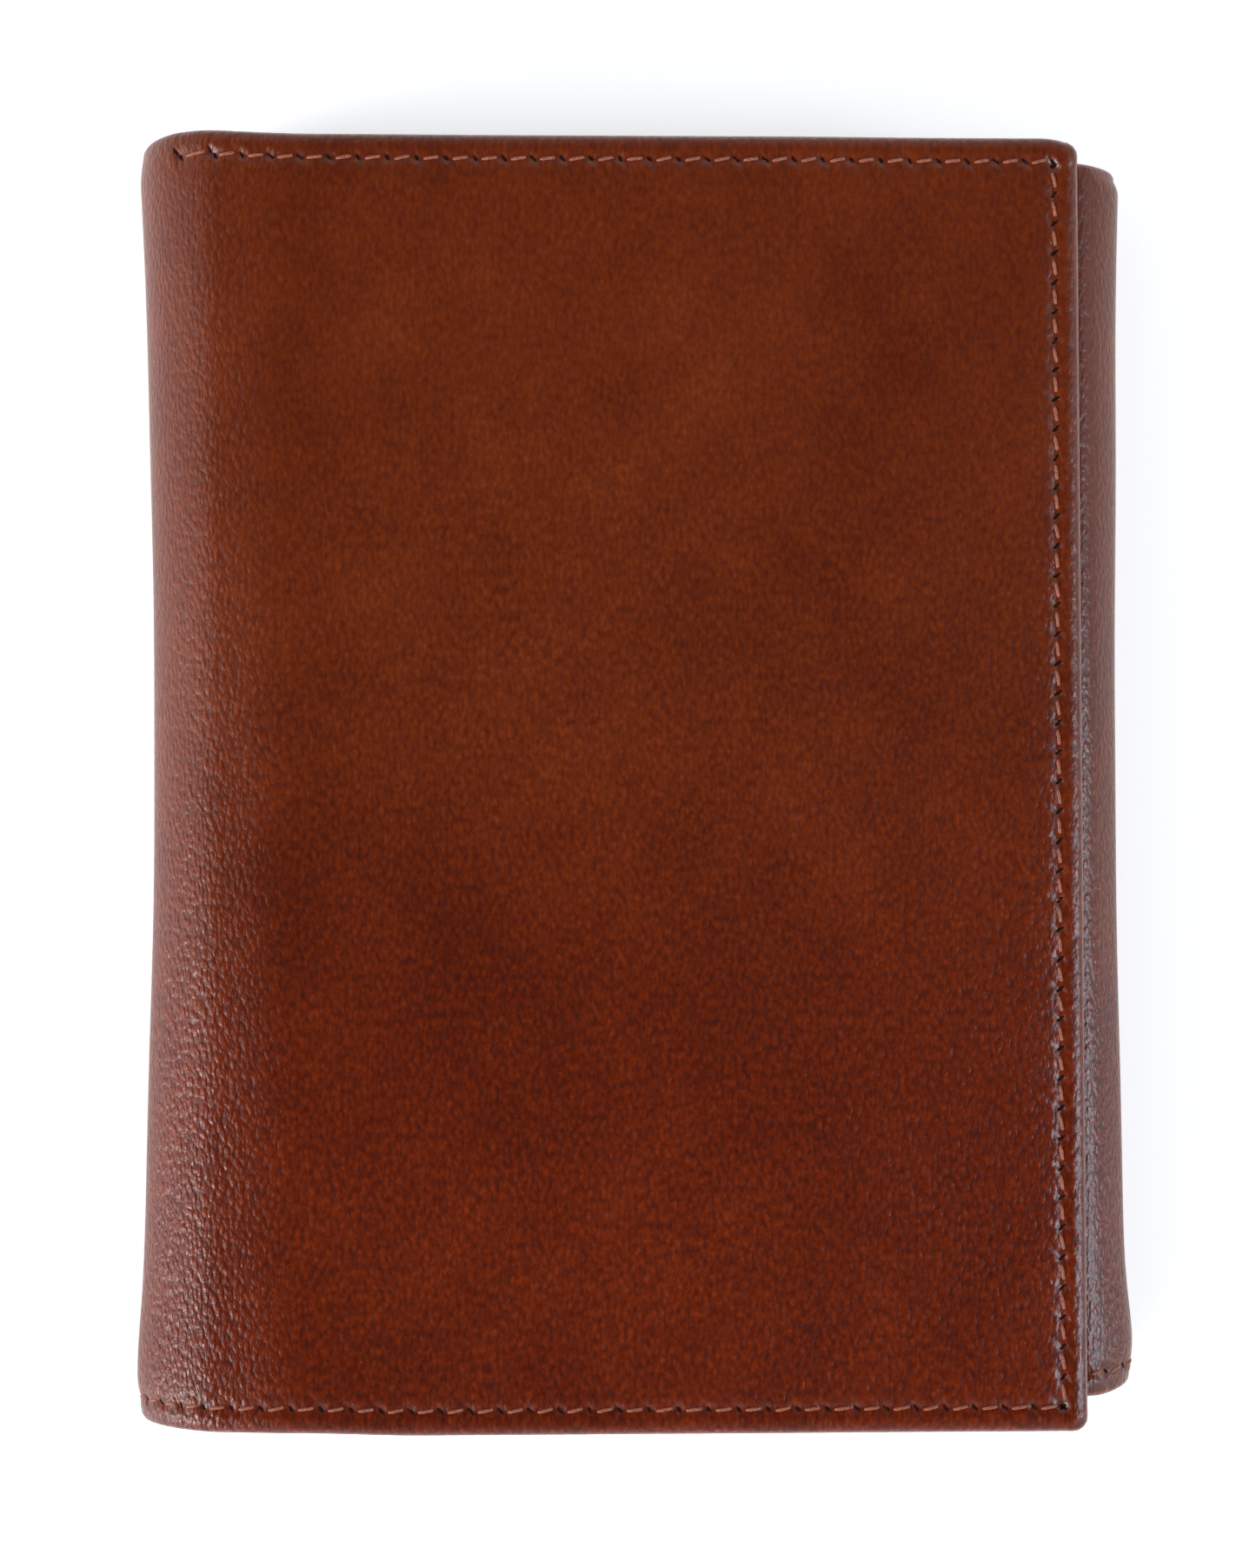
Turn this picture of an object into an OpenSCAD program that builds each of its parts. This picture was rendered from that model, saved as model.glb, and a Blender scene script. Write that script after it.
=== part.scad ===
// Trifold wallet, closed, lying on its back with the front cover up.
// +Z is up, +X runs from the left fold to the right fold, +Y to the top edge.
// The origin is under the middle of the closed wallet, on the surface that it lies on.
//
// Every layer is placed by its depth, which is counted inwards from the outer leather.
// The leather bends on two lines at each fold, so a fold is a strip between two panels.

/* [Closed wallet] */
// Width over both folds
wallet_w = 86.6; // [82:0.5:100]
// Height of the front cover and the left fold
front_h = 110; // [106:0.5:125]
// Height of the back panel
back_h = 109; // [105:0.5:124]
// Height of the flap and the right fold
flap_h = 108.4; // [104:0.2:123]
// How far the right fold stands out past the front cover
fold_reveal = 5.6; // [5:0.1:9]
// How far the flap's free edge stays back from the left fold
flap_setback = 12; // [10:0.5:18]
// Corner radius at the free edges
corner_r = 1.3; // [0.5:0.1:3]

/* [Layers] */
// Outer leather
leather_t = 1.2; // [0.9:0.1:1.5]
// Interlining that stiffens a panel
interlining_t = 0.5; // [0.3:0.1:0.8]
// Fabric lining
lining_t = 0.3; // [0.2:0.1:0.4]
// Room behind an inner panel, for notes
note_gap = 0.6; // [0.4:0.1:1]
// Leather of the inner panels
inner_t = 0.8; // [0.6:0.1:1]
// Leather of one card slot
slot_t = 0.5; // [0.4:0.1:0.7]
// Fabric that a card slot ends in
tail_t = 0.25; // [0.2:0.05:0.3]
// Air between the folded panels
panel_gap = 0.5; // [0.4:0.1:1]
// Width of the edge that is turned over
hem_w = 4; // [3:0.5:6]
// Cut between two leather pieces at a bend line
bend_cut = 0.3; // [0.2:0.05:0.4]

/* [Card slots] */
// Height of the lowest mouth above the bottom edge
mouth_h = 82; // [70:1:84]
// Step from one mouth to the next
mouth_step = 10; // [8:1:10]
// Height of the leather strip at a mouth
strip_h = 18; // [14:1:22]
// How far a slot stays back from its fold
slot_inset = 3; // [2:0.5:6]

/* [Identity window] */
// Width of the opening
window_w = 50; // [40:1:54]
// Height of the opening
window_h = 80; // [60:1:84]
// Corner radius of the opening
window_r = 3; // [1:0.5:6]
// Border under the opening
window_sill = 9; // [6:1:12]
// Height of the framed pocket
frame_h = 97; // [94:1:100]
// Leather of the frame
frame_t = 0.6; // [0.5:0.1:0.8]
// Clear film
film_t = 0.2; // [0.15:0.05:0.3]
// Room for one card behind the film
card_gap = 0.3; // [0.2:0.1:0.6]

/* [Stitching] */
// Distance from the edge to the seam
seam_inset = 2.2; // [1.8:0.1:3]
// Length from one stitch to the next
stitch_pitch = 2.5; // [2:0.1:4]
// Length of one stitch
stitch_len = 1.9; // [1.4:0.1:2.2]
// Width of the thread
thread_w = 0.55; // [0.4:0.05:0.6]
// Height of the thread
thread_t = 0.25; // [0.2:0.05:0.3]
// Depth of the groove that the seam lies in
groove_d = 0.35; // [0.3:0.05:0.4]
// Width of that groove
groove_w = 0.9; // [0.8:0.1:1.2]
// Slant of each stitch
stitch_slant = 8; // [0:1:10]

/* [Hidden] */
$fn = 48;

outer_brown = [0.35, 0.14, 0.07];
inner_brown = [0.40, 0.19, 0.10];
lining_brown = [0.25, 0.15, 0.10];
board_tan = [0.62, 0.50, 0.36];
thread_brown = [0.58, 0.33, 0.22];
clear_film = [0.85, 0.90, 0.92, 0.35];

left = -1;
right = 1;

// Depths at which the layers start, counted from the outer leather
lining_d = leather_t + interlining_t;
gap_d = lining_d + lining_t;
inner_d = gap_d + note_gap;
face_d = inner_d + inner_t;
film_d = face_d + card_gap;
frame_d = film_d + film_t;

// Thickness of each panel and of the whole
card_panel_t = face_d + 3 * slot_t;
back_t = frame_d + frame_t;
right_r = (back_t + panel_gap + card_panel_t) / 2;
total_t = back_t + 2 * card_panel_t + 2 * panel_gap;
left_r = total_t / 2;

// The folds' axes, and the free edges
left_x = left_r - wallet_w / 2;
right_x = wallet_w / 2 - right_r;
front_x = wallet_w / 2 - fold_reveal;
flap_x = left_x + flap_setback;

// A fold's bend lines lie at these angles, counted from straight down
low_bend = 45;
high_bend = 135;

bend_step = 5;    // largest angle of one flat facet round a fold
fit = 0.1;        // air around a sheet that is laid inside a hem
past = 1;         // how far a cutting solid runs past what it cuts

function fold_x(side) = side == left ? left_x : right_x;
function fold_r(side) = side == left ? left_r : right_r;
function half_cut(side) = bend_cut / fold_r(side) * 90 / PI;
function mouth_y(i, h) = mouth_h + (3 - i) * mouth_step - h / 2;
function slot_d(i) = face_d + (i - 1) * slot_t;

// ---- Cross-sections ------------------------------------------------------

// Points round a fold at depth d, from angle a0 to angle a1
function bend(side, d, a0, a1) =
    let (count = ceil(abs(a1 - a0) / bend_step))
    [for (i = [0:count])
        let (a = a0 + (a1 - a0) * i / count, r = fold_r(side) - d)
        [fold_x(side) + side * r * sin(a), fold_r(side) - r * cos(a)]];

// The wallet's section is one line at each depth, cut at the bend lines into five.
// inset shortens a free edge, and over lengthens the bent ends by that angle.
function path(part, d, inset = 0, over = 0) =
    part == "front" ? concat([[front_x - inset, total_t - d]],
                             bend(left, d, 180, high_bend + half_cut(left) - over)) :
    part == "left_spine" ? bend(left, d, high_bend - half_cut(left) + over,
                                low_bend + half_cut(left) - over) :
    part == "back" ? concat(bend(left, d, low_bend - half_cut(left) + over, 0),
                            bend(right, d, 0, low_bend - half_cut(right) + over)) :
    part == "right_spine" ? bend(right, d, low_bend + half_cut(right) - over,
                                 high_bend - half_cut(right) + over) :
    concat(bend(right, d, high_bend + half_cut(right) - over, 180),
           [[flap_x + inset, 2 * right_r - d]]);

function reversed(list) = [for (i = [len(list) - 1:-1:0]) list[i]];

// One layer of a part, t thick, between two places up
module layer(part, d, t, y0, y1, inset = 0, over = 0)
    translate([0, y1, 0]) rotate([90, 0, 0]) linear_extrude(y1 - y0)
        polygon(concat(path(part, d, inset, over), reversed(path(part, d + t, inset, over))));

// Outer leather of a part, with its edges turned over to depths top_d and foot_d
module outer_leather(part, h, top_d, foot_d)
    difference() {
        union() {
            layer(part, 0, top_d, 0, h / 2);
            layer(part, 0, foot_d, -h / 2, 0);
        }
        layer(part, leather_t, inner_d, hem_w - h / 2, h / 2 - hem_w, hem_w, past);
        foot_groove(part, h);
    }

// The groove of the seam along the foot
module foot_groove(part, h)
    layer(part, -past, past + groove_d, seam_inset - h / 2 - groove_w / 2,
          seam_inset - h / 2 + groove_w / 2, seam_inset - groove_w / 2, past);

// ---- Placing -------------------------------------------------------------

// Turns depth into height for a panel whose outer leather faces up at height z
module facing_up(z) translate([0, 0, z]) mirror([0, 0, 1]) children();
module on_front() facing_up(total_t) children();
module on_flap() facing_up(2 * right_r) children();

// ---- Flat sheets ---------------------------------------------------------

module span(x0, x1, y0, y1)
    translate([min(x0, x1), y0]) square([abs(x1 - x0), y1 - y0]);

// A flat sheet between two places across and two places up
module sheet(x0, x1, y0, y1, d, t)
    translate([0, 0, d]) linear_extrude(t) span(x0, x1, y0, y1);

// A sheet of height h that runs from a fold to a free edge with round corners
module tongue(fold_at, free_at, h, d, t, r = corner_r) {
    s = sign(free_at - fold_at);
    translate([0, 0, d]) linear_extrude(t) {
        span(fold_at, free_at - s * r, -h / 2, h / 2);
        span(fold_at, free_at, r - h / 2, h / 2 - r);
        for (v = [-1, 1]) translate([free_at - s * r, v * (h / 2 - r)]) circle(r);
    }
}

// ---- Seams ---------------------------------------------------------------

module stitch(slant)
    rotate([0, 0, slant]) translate([-stitch_len / 2, -thread_w / 2, 0])
        cube([stitch_len, thread_w, thread_t]);

// A row of stitches of length run, from the origin along +X
module stitch_row(run, slant = stitch_slant) {
    count = round(run / stitch_pitch);
    step = run / count;
    for (i = [0:count - 1])
        translate([(i + 0.5) * step, 0, groove_d - thread_t]) stitch(slant);
}

module row_across(x0, x1, y) translate([x0, y, 0]) stitch_row(x1 - x0);
module row_up(x, y0, y1) translate([x, y0, 0]) rotate([0, 0, 90]) stitch_row(y1 - y0);

// Stitches round a fold, at height y, from angle a0 to angle a1
module stitch_bend(side, a0, a1, y) {
    count = round(fold_r(side) * (a1 - a0) * PI / 180 / stitch_pitch);
    step = (a1 - a0) / count;
    for (i = [0:count - 1])
        translate([fold_x(side), y, fold_r(side)])
            rotate([0, -side * (a0 + (i + 0.5) * step), 0])
                translate([0, 0, groove_d - thread_t - fold_r(side)]) stitch(stitch_slant);
}

module groove_across(x0, x1, y)
    sheet(x0, x1, y - groove_w / 2, y + groove_w / 2, -past, past + groove_d);
module groove_up(x, y0, y1)
    sheet(x - groove_w / 2, x + groove_w / 2, y0, y1, -past, past + groove_d);

// ---- Front cover ---------------------------------------------------------

front_seam_x = front_x - seam_inset;
front_seam_y = front_h / 2 - seam_inset;
tack_setback = 3;
tack_angle = high_bend + half_cut(left) + tack_setback;

module front_cover() color(outer_brown)
    difference() {
        intersection() {
            outer_leather("front", front_h, inner_d, inner_d);
            tongue(left_x - left_r, front_x, front_h, 0, total_t);
        }
        on_front() groove_across(left_x - past, front_seam_x + groove_w / 2, front_seam_y);
        on_front() groove_up(front_seam_x, -front_seam_y, front_seam_y);
        layer("front", -past, past + groove_d, front_seam_y - groove_w / 2,
              front_seam_y + groove_w / 2, front_x - left_x, -tack_setback);
    }

module front_interlining() color(board_tan) on_front()
    sheet(left_x + fit, front_x - hem_w - fit,
          hem_w + fit - front_h / 2, front_h / 2 - hem_w - fit, leather_t, interlining_t);

module front_lining() color(lining_brown) on_front()
    sheet(left_x + fit, front_x - hem_w - fit,
          hem_w + fit - front_h / 2, front_h / 2 - hem_w - fit, lining_d, lining_t);

module front_inner_panel() color(inner_brown) on_front()
    tongue(left_x + fit, front_x - fit, front_h - 2 * fit, inner_d, inner_t);

module front_card_slot(i) color(inner_brown) on_front()
    card_slot(i, left_x + slot_inset, front_x - fit, front_h);

module front_slot_tails() color(lining_brown) on_front()
    slot_tails(left_x + slot_inset, front_x - seam_inset, front_h);

module front_stitching() color(thread_brown) {
    on_front() {
        for (v = [-1, 1]) row_across(left_x, front_seam_x, v * front_seam_y);
        row_up(front_seam_x, -front_seam_y, front_seam_y);
    }
    stitch_bend(left, high_bend + half_cut(left), 180, -front_seam_y);
}

// The seam along the top ends beside the left fold with a few tight stitches
module bar_tack() color(thread_brown)
    stitch_bend(left, tack_angle, 180, front_seam_y);

// ---- Card slots, shared by the front cover and the flap -------------------

// Slot 1 has the highest mouth and lies deepest; slot 3 is a full pocket in front
module card_slot(i, x0, x1, h) {
    foot_y = i == 3 ? fit - h / 2 : mouth_y(i, h) - strip_h;
    sheet(x0, x1, foot_y, mouth_y(i, h), slot_d(i), slot_t);
}

// Fabric below the strips of slots 1 and 2
module slot_tails(x0, x1, h)
    for (i = [1, 2])
        sheet(x0, x1, mouth_y(i, h) - mouth_h, mouth_y(i, h) - strip_h, slot_d(i), tail_t);

// ---- Left fold -----------------------------------------------------------

module left_spine_leather() color(outer_brown)
    outer_leather("left_spine", front_h, gap_d, gap_d);

module left_spine_facing() color(inner_brown)
    layer("left_spine", leather_t, inner_t, hem_w + fit - front_h / 2, front_h / 2 - hem_w - fit);

module left_spine_stitching() color(thread_brown)
    stitch_bend(left, low_bend + half_cut(left), high_bend - half_cut(left), -front_seam_y);

// ---- Back panel ----------------------------------------------------------

back_seam_y = back_h / 2 - seam_inset;

module back_cover() color(outer_brown)
    outer_leather("back", back_h, gap_d, inner_d);

module back_interlining() color(board_tan)
    sheet(left_x + fit, right_x - fit,
          hem_w + fit - back_h / 2, back_h / 2 - hem_w - fit, leather_t, interlining_t);

module back_lining() color(lining_brown)
    sheet(left_x + fit, right_x - fit,
          hem_w + fit - back_h / 2, back_h / 2 - hem_w - fit, lining_d, lining_t);

// The divider starts beside the left fold, so that side of its section is cut off
module back_divider() color(inner_brown)
    intersection() {
        layer("back", inner_d, inner_t, fit - back_h / 2, back_h / 2 - seam_inset);
        sheet(left_x + fit, wallet_w / 2, -back_h / 2, back_h / 2, 0, total_t);
    }

// A leather frame, open at its top for the card, with its other three edges turned under
module id_window_frame() color(inner_brown)
    difference() {
        frame_sheet(frame_h, face_d, frame_d + frame_t - face_d);
        sheet(frame_x0 + hem_w, frame_x1 - hem_w, hem_w + frame_y0, back_h, face_d - past,
              past + frame_d - face_d);
        translate([0, 0, face_d]) linear_extrude(back_t) window_outline();
    }

module id_window_film() color(clear_film)
    sheet(frame_x0 + hem_w + fit, frame_x1 - hem_w - fit, frame_y0 + hem_w + fit,
          frame_y0 + frame_h - fit, film_d, film_t);

frame_x0 = left_x + slot_inset;
frame_x1 = right_x - slot_inset;
frame_y0 = fit - back_h / 2;
window_x = (frame_x0 + frame_x1) / 2;

module frame_sheet(h, d, t) sheet(frame_x0, frame_x1, frame_y0, frame_y0 + h, d, t);

module window_outline() {
    y0 = frame_y0 + window_sill;
    span(window_x - window_w / 2 + window_r, window_x + window_w / 2 - window_r, y0, y0 + window_h);
    span(window_x - window_w / 2, window_x + window_w / 2, y0 + window_r, y0 + window_h - window_r);
    for (u = [-1, 1], y = [y0 + window_r, y0 + window_h - window_r])
        translate([window_x + u * (window_w / 2 - window_r), y]) circle(window_r);
}

module back_stitching() color(thread_brown) {
    row_across(left_x, right_x, -back_seam_y);
    stitch_bend(left, 0, low_bend - half_cut(left), -back_seam_y);
    stitch_bend(right, 0, low_bend - half_cut(right), -back_seam_y);
}

// ---- Right fold ----------------------------------------------------------

module right_spine_leather() color(outer_brown)
    outer_leather("right_spine", flap_h, gap_d, inner_d);

module right_spine_lining() color(lining_brown)
    layer("right_spine", lining_d, lining_t, hem_w + fit - flap_h / 2, flap_h / 2 - hem_w - fit);

module right_spine_divider() color(inner_brown)
    layer("right_spine", inner_d, inner_t, fit - flap_h / 2, flap_h / 2 - seam_inset);

module right_spine_stitching() color(thread_brown)
    stitch_bend(right, low_bend + half_cut(right), high_bend - half_cut(right),
                seam_inset - flap_h / 2);

// ---- Flap ----------------------------------------------------------------

flap_seam_x = flap_x + seam_inset;
flap_seam_y = flap_h / 2 - seam_inset;

module flap_cover() color(outer_brown)
    difference() {
        intersection() {
            outer_leather("flap", flap_h, gap_d, inner_d);
            tongue(wallet_w / 2, flap_x, flap_h, 0, total_t);
        }
        on_flap() groove_up(flap_seam_x, -flap_seam_y, flap_seam_y);
    }

module flap_interlining() color(board_tan) on_flap()
    sheet(flap_x + hem_w + fit, right_x - fit,
          hem_w + fit - flap_h / 2, flap_h / 2 - hem_w - fit, leather_t, interlining_t);

module flap_lining() color(lining_brown) on_flap()
    sheet(flap_x + hem_w + fit, right_x - fit,
          hem_w + fit - flap_h / 2, flap_h / 2 - hem_w - fit, lining_d, lining_t);

module flap_divider() color(inner_brown)
    layer("flap", inner_d, inner_t, fit - flap_h / 2, flap_h / 2 - seam_inset, fit);

module flap_card_slot(i) color(inner_brown) on_flap()
    card_slot(i, flap_x + fit, right_x - slot_inset, flap_h);

module flap_slot_tails() color(lining_brown) on_flap()
    slot_tails(flap_x + seam_inset, right_x - slot_inset, flap_h);

module flap_stitching() color(thread_brown) {
    on_flap() {
        row_across(flap_seam_x, right_x, -flap_seam_y);
        row_up(flap_seam_x, -flap_seam_y, flap_seam_y);
    }
    stitch_bend(right, high_bend + half_cut(right), 180, -flap_seam_y);
}

front_cover();
front_interlining();
front_lining();
front_inner_panel();
front_card_slot(1);  // front_card_slot_1
front_card_slot(2);  // front_card_slot_2
front_card_slot(3);  // front_card_slot_3
front_slot_tails();
front_stitching();
bar_tack();
left_spine_leather();
left_spine_facing();
left_spine_stitching();
back_cover();
back_interlining();
back_lining();
back_divider();
id_window_frame();
id_window_film();
back_stitching();
right_spine_leather();
right_spine_lining();
right_spine_divider();
right_spine_stitching();
flap_cover();
flap_interlining();
flap_lining();
flap_divider();
flap_card_slot(1);  // flap_card_slot_1
flap_card_slot(2);  // flap_card_slot_2
flap_card_slot(3);  // flap_card_slot_3
flap_slot_tails();
flap_stitching();
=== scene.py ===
"""A closed leather trifold wallet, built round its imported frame.

The leather is one strip that runs from the front cover's free edge, round the left fold,
along the back, round the right fold and on to the flap's free edge. Every layer is placed
on that strip by three numbers in millimetres: s along the strip, v up the wallet, and the
depth below the outer face.
"""

import math

import bmesh
import bpy
import numpy as np
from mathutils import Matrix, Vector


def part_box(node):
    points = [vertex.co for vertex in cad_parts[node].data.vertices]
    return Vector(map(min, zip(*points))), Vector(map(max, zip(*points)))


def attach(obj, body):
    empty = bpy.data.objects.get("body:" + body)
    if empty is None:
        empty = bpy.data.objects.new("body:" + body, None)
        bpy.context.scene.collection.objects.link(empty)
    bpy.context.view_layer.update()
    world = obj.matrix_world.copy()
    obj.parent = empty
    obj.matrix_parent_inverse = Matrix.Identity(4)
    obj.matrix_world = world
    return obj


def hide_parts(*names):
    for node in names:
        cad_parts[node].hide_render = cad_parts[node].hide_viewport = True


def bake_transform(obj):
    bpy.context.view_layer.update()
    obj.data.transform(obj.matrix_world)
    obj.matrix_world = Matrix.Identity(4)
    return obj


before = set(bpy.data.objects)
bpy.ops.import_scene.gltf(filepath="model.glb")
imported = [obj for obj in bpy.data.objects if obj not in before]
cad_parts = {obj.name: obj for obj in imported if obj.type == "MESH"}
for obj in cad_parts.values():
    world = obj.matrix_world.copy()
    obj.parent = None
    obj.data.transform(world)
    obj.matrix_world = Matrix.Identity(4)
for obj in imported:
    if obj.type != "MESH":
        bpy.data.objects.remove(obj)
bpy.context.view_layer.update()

MM = 0.001
HALF_PI = math.pi / 2
dice = np.random.default_rng(7)


# ---- The strip, measured on the frame ------------------------------------------------


def box_mm(node):
    low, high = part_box(node)
    return np.array(low) / MM, np.array(high) / MM


front_high = box_mm("front_cover")[1]
flap_low, flap_high = box_mm("flap_cover")
back_high = box_mm("back_cover")[1]

LEFT_R = front_high[2] / 2
RIGHT_R = flap_high[2] / 2
LEFT_X = box_mm("left_spine_leather")[0][0] + LEFT_R
RIGHT_X = box_mm("right_spine_leather")[1][0] - RIGHT_R
FRONT_X = front_high[0]
FLAP_X = flap_low[0]

FRONT_Y = front_high[1]
BACK_Y = back_high[1]
FLAP_Y = flap_high[1]
FOLD_FOOT = FLAP_Y - 0.9  # the right fold's foot sits a little high

# Lengths along the strip at which its parts end
S_FRONT = FRONT_X - LEFT_X
S_SPINE = S_FRONT + LEFT_R * HALF_PI
S_BACK = S_FRONT + LEFT_R * math.pi
S_RIGHT = S_BACK + RIGHT_X - LEFT_X
S_FOLD = S_RIGHT + RIGHT_R * HALF_PI
S_FLAP = S_RIGHT + RIGHT_R * math.pi
S_END = S_FLAP + RIGHT_X - FLAP_X
CORNERS = [S_FRONT, S_BACK, S_RIGHT, S_FLAP]

# Depths and thicknesses of the layers. A sheet sits a hair deeper and thinner than its
# place in the frame, so that no two faces coincide.
FACING_D, FACING_T = 1.25, 0.75
LINING_D, LINING_T = 1.7, 0.3
INNER_D, INNER_T = 2.6, 0.8
FACE_D = INNER_D + INNER_T
SLOT_T = 0.5
HAIR_DEEPER, HAIR_THINNER = 0.02, 0.03

# Card slots: height of the lowest mouth above the foot, rise of each step, and how far the
# leather of the upper slots reaches below its mouth
LOWEST_MOUTH, SLOT_STEP, SLOT_REACH = 82, 10, 18

# Identity window, within its leather frame
WINDOW_WIDTH, WINDOW_HEIGHT, WINDOW_SILL, WINDOW_CORNER = 50, 80, 9, 3

SEAM_INSET = 2.2
STITCH_PITCH = 2.5
CORNER_R = 2.3  # round of the right fold's corners
EDGE_BAND = 4.4  # finer mesh along the strip's two free edges
END_BAND = 3.1  # finer mesh along its top and foot


def section(s):
    """Place (x, z) and outward normal (x, z) of the outer face at length s along the strip."""
    s = np.asarray(s, float)
    left = math.pi - (s - S_FRONT) / LEFT_R
    right = (s - S_RIGHT) / RIGHT_R
    zero, one = np.zeros_like(s), np.ones_like(s)
    parts = [s < S_FRONT, s < S_BACK, s < S_RIGHT, s < S_FLAP]
    x = np.select(
        parts,
        [
            FRONT_X - s,
            LEFT_X - LEFT_R * np.sin(left),
            LEFT_X + s - S_BACK,
            RIGHT_X + RIGHT_R * np.sin(right),
        ],
        RIGHT_X + S_FLAP - s,
    )
    z = np.select(
        parts,
        [
            2 * LEFT_R * one,
            LEFT_R - LEFT_R * np.cos(left),
            zero,
            RIGHT_R - RIGHT_R * np.cos(right),
        ],
        2 * RIGHT_R,
    )
    nx = np.select(parts, [zero, -np.sin(left), zero, np.sin(right)], 0.0)
    nz = np.select(parts, [one, -np.cos(left), -one, -np.cos(right)], 1.0)
    return x, z, nx, nz


def place(s, v, depth):
    """Point in the frame's millimetres for strip length s, height v and depth."""
    x, z, nx, nz = section(s)
    return np.stack([x - nx * depth, v + 0 * x, z - nz * depth], -1)


def top_y(s):
    """Half height at the top. The turned edge stands a little proud on the left fold."""
    ends = np.interp(s, CORNERS, [FRONT_Y, BACK_Y, FLAP_Y, FLAP_Y])
    eased = 0.35 * np.clip((3.2 - s) / 2, 0, 1) ** 2
    return ends + 0.6 * swell(s, S_FRONT + 5, 13) - eased


def foot_y(s):
    """Half height at the foot, less where the leather draws up round the folds."""
    ends = np.interp(s, CORNERS, [FRONT_Y, BACK_Y, FOLD_FOOT, FOLD_FOOT])
    drawn_up = 0.35 * swell(s, S_FRONT + 6, 13) + 0.5 * swell(s, S_FOLD, 6)
    drawn_up = drawn_up + 0.3 * swell(s, S_FRONT - 6, 12)
    return ends + np.where(s < S_FRONT, 0.15, 0) * swell(s, 0, S_FRONT) - drawn_up


def smooth(t):
    t = np.clip(t, 0, 1)
    return t * t * (3 - 2 * t)


def swell(s, centre, half_width):
    """1 at the centre, easing to 0 at half_width from it."""
    return np.cos(HALF_PI * np.clip((s - centre) / half_width, -1, 1)) ** 2


# ---- How the soft leather departs from the plain strip --------------------------------


def waist(s, v):
    """The folds are slimmer at half height than at their ends, so they draw inwards."""
    span = 1 - (v / FRONT_Y) ** 2
    left = 1.4 * swell(s, S_SPINE, 17)
    right = 0.8 * swell(s, S_FOLD, 10)
    flare = 0.45 * swell(s, S_FOLD, 8) + 0.2 * swell(s, S_SPINE, 12)
    return flare * np.exp(-(((v + 49) / 5) ** 2)) - span * (left + right)


def form(s, v):
    """Outward swelling of the outer leather: folds, shoulders, crown and slight waves."""
    along = np.clip((2 * s - S_FRONT) / S_FRONT, -1, 1)
    crown = 0.34 * (1 - along**2) * (1 - (v / FRONT_Y) ** 2)
    crown = np.where(s < S_FRONT, crown, 0)
    past = s - S_FRONT
    shoulders = -0.72 * smooth((past + 6.5) / 10) * (1 - 0.8 * smooth((past - 3.5) / 8.5))
    shoulders = shoulders - 0.15 * np.exp(-(((s - S_FLAP - 0.5) / 3.2) ** 2))
    shoulders = shoulders - 0.4 * swell(s, S_FLAP - 3.3, 4)
    waves = 0.05 * np.sin(s / 9 + 1.3) * np.sin(v / 11 + 0.4)
    waves = waves + 0.04 * np.sin(s / 5.3 + v / 7.7 + 2.1)
    waves = waves + 0.025 * np.sin(s / 3.1 - v / 4.4)
    end_gap = np.where(v > 0, top_y(s) - v, foot_y(s) + v)
    rounding = -0.45 * smooth(1 - end_gap / 4.5) ** 2 * swell(s, S_SPINE, 13)
    short = np.clip(CORNER_R - end_gap, 0, CORNER_R)
    corner = CORNER_R - np.sqrt(CORNER_R**2 - 0.97 * short**2)
    rounding = rounding - corner * swell(s, S_FOLD, 8.5)
    return waist(s, v) + crown + shoulders + waves + rounding


class Seam:
    """A row of stitches: along the strip at a height, or up the wallet at a strip length."""

    def __init__(self, low, high, height=None, length=None, depth=0.0, side=1):
        self.low, self.high = low, high
        self.height, self.length = height, length
        self.depth, self.side = depth, side
        self.count = max(1, round((high - low) / STITCH_PITCH))
        self.pitch = (high - low) / self.count

    def point(self, along, across=0.0):
        """(s, v) at a distance along the seam and a distance to its left."""
        if self.length is None:
            return along, self.height(along) + across
        return self.length - across, along

    def trench(self, s, v):
        """How far the thread has pulled the leather in at (s, v)."""
        if self.length is None:
            along, across = s, v - self.height(s)
        else:
            along, across = v, s - self.length
        reach = smooth((along - self.low + 0.6) / 0.8) * smooth((self.high + 0.6 - along) / 0.8)
        beat = np.cos(2 * math.pi * (along - 0.7 * across - self.low) / self.pitch)
        valley = (0.12 + 0.03 * beat) * np.exp(-((across / 0.42) ** 2))
        pucker = 0.11 * np.maximum(beat, 0) ** 3 * np.exp(-((across / 0.8) ** 2))
        slope = 0.09 * np.exp(-((across / 1.7) ** 2))
        return -reach * (valley + pucker + slope)


def foot_seam_y(s):
    return SEAM_INSET - foot_y(s)


def top_seam_y(s):
    return top_y(s) - SEAM_INSET


TACK_START, TACK_END = S_FRONT + 0.5, S_FRONT + 4.2
top_seam = Seam(SEAM_INSET, TACK_START, height=top_seam_y)
tack_seam = Seam(TACK_START, TACK_END, height=top_seam_y)
front_seam = Seam(foot_seam_y(0), top_seam_y(0), length=SEAM_INSET)
foot_seam = Seam(SEAM_INSET, S_END - SEAM_INSET, height=foot_seam_y)
flap_seam = Seam(foot_seam_y(S_END), top_seam_y(S_END), length=S_END - SEAM_INSET)
OUTER_SEAMS = [top_seam, tack_seam, front_seam, foot_seam, flap_seam]


def relief(s, v):
    return sum(seam.trench(s, v) for seam in OUTER_SEAMS)


# ---- Meshes ---------------------------------------------------------------------------


def new_object(name, mesh, *materials):
    piece = bpy.data.objects.new(name, mesh)
    bpy.context.scene.collection.objects.link(piece)
    for material in materials:
        mesh.materials.append(material)
    return piece


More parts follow.
